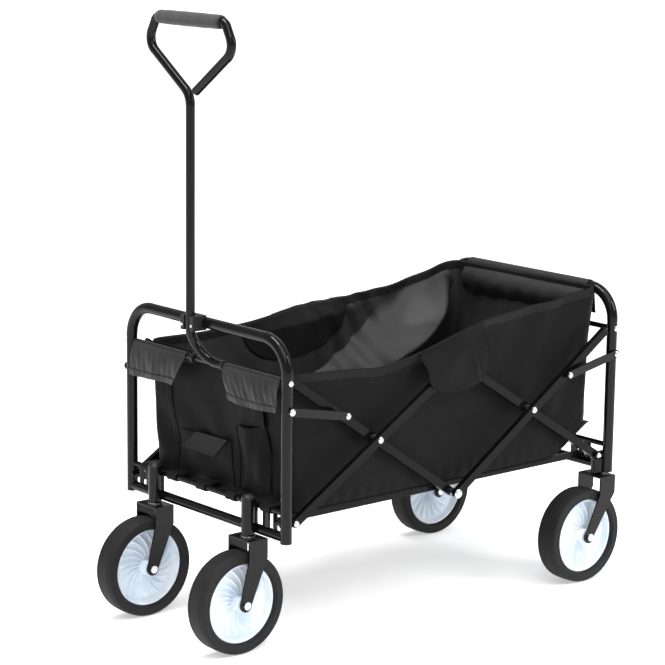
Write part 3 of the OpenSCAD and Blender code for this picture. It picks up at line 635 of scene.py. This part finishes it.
def inner_patch(name, side):
    """A half-round patch sewn inside the wall behind the rim pocket."""
    s = np.linspace(0, 1, 60)[:, None]
    t = np.linspace(-1, 1, 110)[None, :]
    x = joint_x - 0.035 + 0.130 * np.broadcast_to(t, (60, 110))
    edge = np.full_like(x, float(side))
    drop = 0.010 + 0.074 * np.clip(1 - np.abs(t) ** 2.4, 0, 1) ** 0.55
    v = 1 - (0.004 + drop * s) / (rim_height(x, edge) - foot_height(x))
    spots = tub_wall(x, edge * wide, np.zeros_like(x), edge, v)
    spots[..., 1] -= side * (0.0048 + 0.0012 * np.sin(t * 9) * np.sin(s * math.pi))
    uv = np.stack(np.broadcast_arrays(x, drop * s), -1)
    piece = grid_mesh(name, spots, uv=uv, flip=side < 0, materials=[outside_cloth])
    give_thickness(piece, 0.0010, False)
    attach(piece, "front_frame")
    return piece


inner_patches = [inner_patch("near_inner_patch", -1), inner_patch("far_inner_patch", 1)]


# How far the rear end comes forward when the frame folds
travel = 0.5997
# Folded, the end walls move out past the upright floor rails, by these amounts
front_give, rear_give = 0.0195, 0.004
keep = (long - travel + front_give + rear_give) / long
anchor = (x0 - front_give / (1 - keep), 0, 0.3)
for piece in (tub, base, binding, *inner_patches):
    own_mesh(piece)


# --- Front panel trimmings ---------------------------------------------------
# Sewn on the front wall: a flat tab with a patch below it, a bellows pocket with its
# flap beside the near post, seam strips, and straps that tie the hem to the crossbar.
def on_front(y, z, lift):
    """The front wall's outer point at height z, lifted off along its outward way."""
    flat_y, flat_z = np.ravel(y), np.ravel(z)
    at = np.full_like(flat_y, x0)
    v = (flat_z - foot_height(at)) / (rim_height(at, flat_y) - foot_height(at))
    spots = tub_wall(at, flat_y, np.full_like(at, -1.0), np.zeros_like(at), v).reshape(*np.shape(y), 3)
    spots[..., 0] -= lift
    return spots


def patch(name, corners, puff, lift, material, bag=0.0, flat=False):
    """A four-cornered cloth patch (y, z corners, top edge first) sewn down at its sides, domed by puff."""
    s = np.linspace(0, 1, 46)[:, None]
    t = np.linspace(0, 1, 52)[None, :]
    (ya, za), (yb, zb), (yc, zc), (yd, zd) = corners
    y = (ya * (1 - t) + yb * t) * (1 - s) + (yd * (1 - t) + yc * t) * s
    z = (za * (1 - t) + zb * t) * (1 - s) + (zd * (1 - t) + zc * t) * s
    dome = puff * np.sin(t * math.pi) ** 0.7 * (1 - s * (1 - bag))
    dome = dome + puff * bag * np.sin(s * math.pi) * np.sin(t * math.pi)
    dome = dome + 0.2 * puff * np.sin(t * 14 + s * 6) * np.sin(s * math.pi)
    z = z - 0.5 * puff * np.sin(t * math.pi) * (1 - s)
    points = on_front(y, z, lift + dome)
    if flat:
        # A stiff piece bridges the wall's buckles instead of following them
        a, b, c, d = points[0, 0], points[0, -1], points[-1, -1], points[-1, 0]
        s3, t3 = s[..., None], t[..., None]
        points = (a * (1 - t3) + b * t3) * (1 - s3) + (d * (1 - t3) + c * t3) * s3
        points[..., 0] -= 0.004 + dome
    uv = np.stack(np.broadcast_arrays(y, z), -1)
    piece = grid_mesh(name, points, uv=uv, materials=[material, lining_cloth])
    give_thickness(piece, 0.0013)
    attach(piece, "front_frame")
    trimmings.append(piece)


trimmings = []
patch("front_tab", [(0.063, 0.344), (-0.038, 0.348), (0.004, 0.309), (0.108, 0.307)],
      0.0012, 0.0050, panel_cloth, flat=True)
patch("front_lower_patch", [(0.112, 0.340), (-0.040, 0.346), (-0.046, 0.262), (0.118, 0.262)],
      0.0015, 0.0015, outside_cloth)
patch("front_pocket", [(-0.066, 0.386), (-0.138, 0.392), (-0.150, 0.272), (-0.066, 0.262)],
      0.010, 0.002, outside_cloth, bag=0.6)
patch("front_pocket_flap", [(-0.060, 0.432), (-0.142, 0.436), (-0.140, 0.388), (-0.064, 0.380)],
      0.004, 0.007, outside_cloth)
patch("front_seam_strip", [(0.142, 0.450), (0.126, 0.450), (0.124, 0.262), (0.140, 0.262)],
      0.0015, 0.0012, outside_cloth)
patch("front_middle_seam", [(-0.046, 0.450), (-0.058, 0.450), (-0.060, 0.262), (-0.048, 0.262)],
      0.0015, 0.0012, outside_cloth)
for piece in trimmings:
    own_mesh(piece)

crossbar_x, crossbar_z, crossbar_r = rod_x, rod_z - 0.227, 0.005


def hem_strap(name, y, width):
    """A webbing strap from the front wall's hem, round the upper crossbar and back, on one loop."""
    runs, bends, across = 26, 28, 16
    count = 2 * runs + bends
    s = np.linspace(0, 1, count)
    reel = crossbar_r + 0.0014
    start = x0 - 0.001
    run = start - crossbar_x
    turn = np.linspace(0, math.pi, bends)
    out, home = np.linspace(start, crossbar_x, runs), np.linspace(crossbar_x, start, runs)
    low_run = np.linspace(crossbar_z - reel, crossbar_z - reel + 0.002, runs)
    path_x = np.concatenate([out, crossbar_x - reel * np.sin(turn), home])
    path_z = np.concatenate([np.full(runs, crossbar_z + reel), crossbar_z + reel * np.cos(turn), low_run])
    t = np.linspace(-1, 1, across)
    points = np.stack(np.broadcast_arrays(
        path_x[:, None], (y + t * width / 2)[None, :],
        path_z[:, None] + 0.0003 * np.sin(t * 5)[None, :]), -1)
    uv = np.stack(np.broadcast_arrays(t[None, :] * width / 2, s[:, None] * run * 2.4), -1)
    strap = grid_mesh(name, points, uv=uv, materials=[tape_cloth])
    give_thickness(strap, 0.001, False)
    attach(strap, "front_frame")


for number, y in enumerate((-0.172, -0.075, 0.010, 0.095, 0.176)):
    hem_strap(f"hem_strap_{number + 1}", y, 0.026)


# --- Floor boards ------------------------------------------------------------
# Two stiff boards wrapped in the same cloth lie on the tub's floor; their edges are
# rolled and stitched, and the tops are quilted in panels: four in front, three behind.
def board(name, node, panels):
    """A wrapped board: a superellipse slab whose top is quilted in panels along X."""
    low, high = (np.array(c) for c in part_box(node))
    centre, half = (low + high) / 2, (high - low) / 2
    n, m = 150, 120
    u, w = np.meshgrid(np.linspace(0, 2 * math.pi, n, endpoint=False), np.linspace(-1, 1, m), indexing="ij")
    blunt = lambda a, p: np.sign(a) * np.abs(a) ** p
    across = blunt(np.cos(u), 0.12)
    up_down = blunt(np.sin(u), 0.6)
    x = w
    ends = (1 - np.abs(x) ** 40) ** 0.5
    quilt = np.abs(np.sin((x * 0.5 + 0.5) * math.pi * panels)) ** 0.35
    z = half[2] * up_down * np.clip(ends, 0.02, 1) * (0.72 + 0.28 * quilt)
    points = np.stack([centre[0] + half[0] * x, centre[1] + half[1] * across * (0.985 + 0.015 * ends),
                       centre[2] + z], -1)
    uv = np.stack([np.append(half[1] * across, half[1] * across[:1], 0),
                   np.append(half[0] * x, half[0] * x[:1], 0)], -1)
    piece = grid_mesh(name, points, wrap_u=True, flip=True, uv=uv, materials=[outside_cloth])
    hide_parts(node)
    return piece


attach(board("front_board_wrapped", "front_floor_board", 4), "front_rails")
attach(board("rear_board_wrapped", "rear_floor_board", 3), "rear_rails")


# --- Front flaps -------------------------------------------------------------
# Two flaps of the tub's front edge are thrown forward over the rod, grey coated side
# out, hemmed at the bottom, and stitched back behind the rod.
def over_rod(name, y_from, y_to, front_drop, back_drop, seed):
    """A strip folded over the rod along Y: up behind it, round it, and down in front with slack."""
    radius = 0.0067
    turn = radius * math.pi
    total = back_drop + turn + front_drop
    s = np.linspace(0, total, 90)[:, None]
    t = np.linspace(0, 1, 110)[None, :]
    over = np.clip((s - back_drop) / turn, 0, 1) * math.pi
    down = np.clip(s - back_drop - turn, 0, 1)
    up_back = np.clip(back_drop - s, 0, 1)
    spread = down / front_drop
    wave = np.sin(t * 13 + seed + spread * 2) * 0.5 + np.sin(t * 23 - seed * 2 - spread * 4) * 0.22
    wave = wave + np.sin(t * 6 - spread * 2) * 0.6
    belly = 0.006 * spread + 0.0050 * spread * (wave * 0.5 + 0.5) + 0.003 * np.sin(spread * math.pi)
    x = rod_x + radius * np.cos(over) - belly + 0.004 * smooth(up_back / 0.02)
    z = rod_z + radius * np.sin(over) - down * (1 - 0.025 * np.sin(t * 5 + seed)) - up_back
    # The inner edge is folded back, so the flap narrows downwards away from the clip
    inner = 1 - t if y_from > 0 else t
    y = y_from + (y_to - y_from) * t + np.sign(y_from) * 0.026 * spread ** 1.2 * inner
    hem = smooth((spread - 0.76) * 14)
    x = x - 0.0013 * hem + 0.0008 * blob(spread - 0.77, 0.02)
    x = x - 0.0013 * np.sin(t * 41 + spread * 9 + seed) * np.sin(t * 17 - seed) * spread * (1 - 0.7 * hem)
    points = np.stack(np.broadcast_arrays(x, y, z + 0.0 * t), -1)
    uv = np.stack(np.broadcast_arrays(t * (y_to - y_from), s), -1)
    piece = grid_mesh(name, points, flip=True, uv=uv, materials=[lining_cloth, outside_cloth])
    give_thickness(piece, 0.0012)
    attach(piece, "front_frame")
    return piece


reach_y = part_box("front_flaps")[1][1]
flap_gap = 0.054
far_flap = over_rod("far_front_flap", flap_gap, reach_y, 0.056, 0.016, 0.4)
over_rod("near_front_flap", -reach_y, -flap_gap, 0.054, 0.016, 2.1)
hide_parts("front_flaps")


# --- Rear cuff ---------------------------------------------------------------
# The rear wall's top is a wide cuff sewn round the rear hoop's top tube: a soft grey
# roll inside, the tube through it, and a short black skirt hanging behind.
def rear_cuff():
    """A band across t: up inside as a soft roll, half round the hoop's tube, then down as a skirt."""
    low, high = (np.array(c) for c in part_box("rear_cuff"))
    reach_y = high[1] - 0.002
    radius = 0.0118
    s = np.linspace(0, 1, 110)[:, None]
    t = np.linspace(-1, 1, 150)[None, :]
    inside, turn, outside = 0.062, radius * math.pi, 0.052
    total = inside + turn + outside
    run = s * total
    up_in = np.clip(inside - run, 0, 1) / inside
    over = np.clip((run - inside) / turn, 0, 1) * math.pi
    down = np.clip(run - inside - turn, 0, 1) / outside
    roll_out = 0.020 * np.sin(np.clip(up_in, 0, 1) ** 0.8 * math.pi) * (1 - 0.25 * t ** 2)
    x = hoop_x - radius * np.cos(over) - roll_out - 0.004 * up_in
    x = x + 0.004 * down * (1 + 0.5 * np.sin(t * 11))
    sag = 0.006 * (1 - t ** 2)
    skirt = down * outside * (1 - 0.05 * np.sin(t * 8))
    z = hoop_z + radius * np.sin(over) - up_in * (inside - 0.004 + sag) - skirt
    z = z + 0.0010 * np.sin(t * 17 + up_in * 4) * up_in
    x = x + 0.0012 * np.sin(t * 21 + s * 9) * (up_in + 0.5 * down)
    points = np.stack(np.broadcast_arrays(x, reach_y * t, z), -1)
    uv = np.stack(np.broadcast_arrays(reach_y * t, run), -1)
    piece = grid_mesh("rear_cuff_sewn", points, uv=uv, materials=[lining_cloth, outside_cloth])
    give_thickness(piece, 0.0014)
    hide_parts("rear_cuff")
    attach(piece, "rear_frame")


rear_cuff()


# --- Rim pockets -------------------------------------------------------------
# A round-ended lobe of the side panel is sewn over the bars' top ends on each side, so
# the middle of the rim is carried by the bars' joint.
def rim_pocket(name, side):
    """A lobe: down from the rim by s, along it by t, and outwards from the wall's rim to the bars."""
    low, high = (np.array(c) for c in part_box("rim_pockets"))
    s = np.linspace(0, 1, 90)[:, None]
    t = np.linspace(-1, 1, 120)[None, :]
    # The outline hangs from the rim and closes in a flat half ellipse under the bar ends
    width = 0.071
    x = joint_x - 0.006 + width * t * (1 + 0.10 * (1 - s))
    edge = np.full_like(x, float(side))
    rim = rim_height(x, edge) + 0.001
    bottom_z = low[2] + 0.003
    reach = np.clip(1 - np.abs(t) ** 2.6, 0, 1) ** 0.5 * 0.34 + 0.66
    z = rim - (rim - bottom_z) * reach * s
    # It leaves the rim flush, stands out over the bar ends, and lies back at its upper sides
    top = np.abs(tub_wall(x, edge * wide, np.zeros_like(x), edge, np.ones_like(x))[..., 1])
    over_bars = smooth(s * 2.1) * (1 - (1 - smooth(s * 1.25)) * np.abs(t) ** 5)
    outward = top + 0.0022 + (high[1] + 0.0008 - top - 0.0022) * over_bars
    crease = blob(t - 0.30 - s * 0.38, 0.07) - 0.6 * blob(t - 0.40 - s * 0.38, 0.09)
    fold = 0.0010 * np.sin(t * 6 + s * 5) * np.sin(s * math.pi) + 0.0020 * crease * s
    y = side * (outward + fold)
    points = np.stack(np.broadcast_arrays(x, y, z), -1)
    uv = np.stack(np.broadcast_arrays(width * t, s * 0.1), -1)
    piece = grid_mesh(name, points, uv=uv, flip=side > 0, materials=[outside_cloth, lining_cloth])
    give_thickness(piece, 0.0014)
    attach(piece, "rim_pockets")
    return piece


near_pocket = rim_pocket("near_rim_pocket", -1)
far_pocket = rim_pocket("far_rim_pocket", 1)
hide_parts("rim_pockets")
for pocket in (near_pocket, far_pocket):
    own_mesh(pocket)
